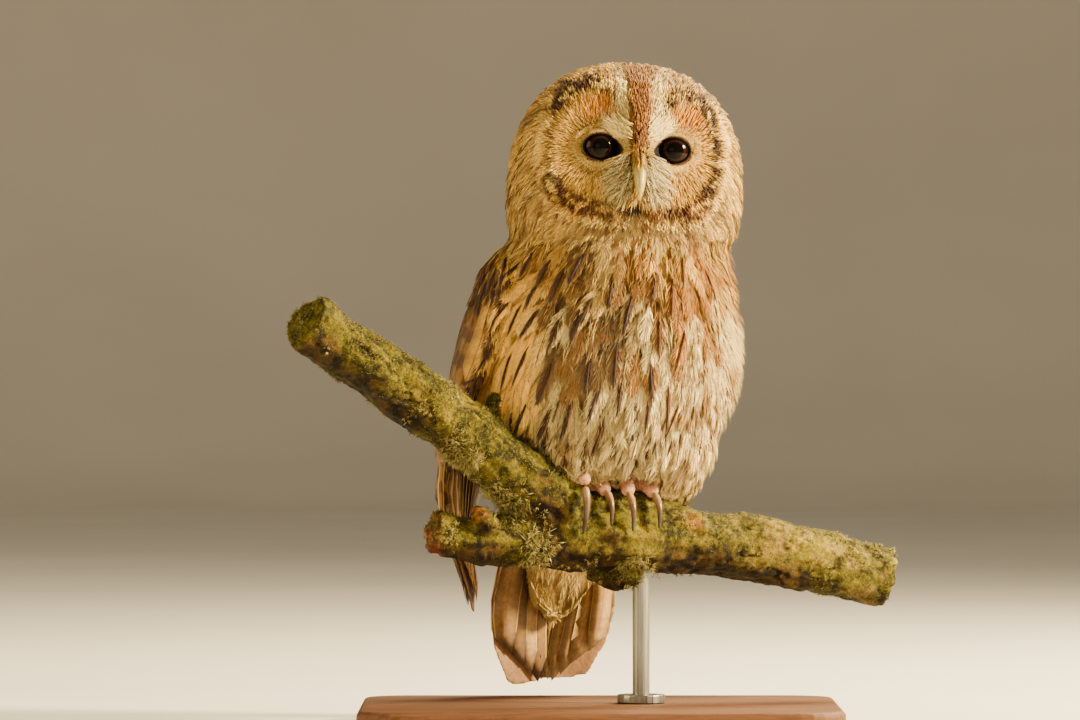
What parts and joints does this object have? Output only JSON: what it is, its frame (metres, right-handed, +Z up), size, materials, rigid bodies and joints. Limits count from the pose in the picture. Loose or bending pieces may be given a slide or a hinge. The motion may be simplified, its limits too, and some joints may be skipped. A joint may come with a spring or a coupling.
{
  "type": "tawny owl museum model",
  "caption": "Life-size still model of a perched tawny owl gripping a cut length of branch, held by a rod on a plain flat base.",
  "frame": {"origin": "centre of the underside of the stand's flat base", "axes": "+Z up along the bird's height, +X along the perch towards the owl's left side, -Y towards the viewer; the owl's body is turned 22 degrees from -Y towards +X"},
  "size_m": [0.3545, 0.2426, 0.387],
  "materials": {
    "head_feathers": "buff and cream feathers with a dark-edged facial disc",
    "body_feathers": "cream feathers with dark shaft streaks and rufous bars",
    "wing_feathers": "brown flight feathers with buff bars",
    "eye": "wet gloss over dark brown",
    "bill": "satin yellowish horn",
    "toe_skin": "scaly pinkish skin",
    "claw": "satin dark horn",
    "bark": "rough bark with moss and lichen",
    "stand_wood": "satin dark stained wood",
    "stand_steel": "dark brushed steel"
  },
  "bodies": {
    "root": {"head": "head_feathers", "neck": "body_feathers", "trunk": "body_feathers", "leg_left": "body_feathers", "leg_right": "body_feathers", "undertail": "body_feathers", "wing_left": "wing_feathers", "wing_right": "wing_feathers", "tail": "wing_feathers", "eye_left": "eye", "eye_right": "eye", "bill_upper": "bill", "bill_lower": "bill", "foot_left": "toe_skin", "foot_right": "toe_skin", "claw_left_1": "claw", "claw_left_2": "claw", "claw_left_3": "claw", "claw_left_4": "claw", "claw_right_1": "claw", "claw_right_2": "claw", "claw_right_3": "claw", "claw_right_4": "claw", "perch_limb": "bark", "perch_arm": "bark", "stand_base": "stand_wood", "stand_rod": "stand_steel", "stand_collar": "stand_steel"}
  },
  "joints": []
}
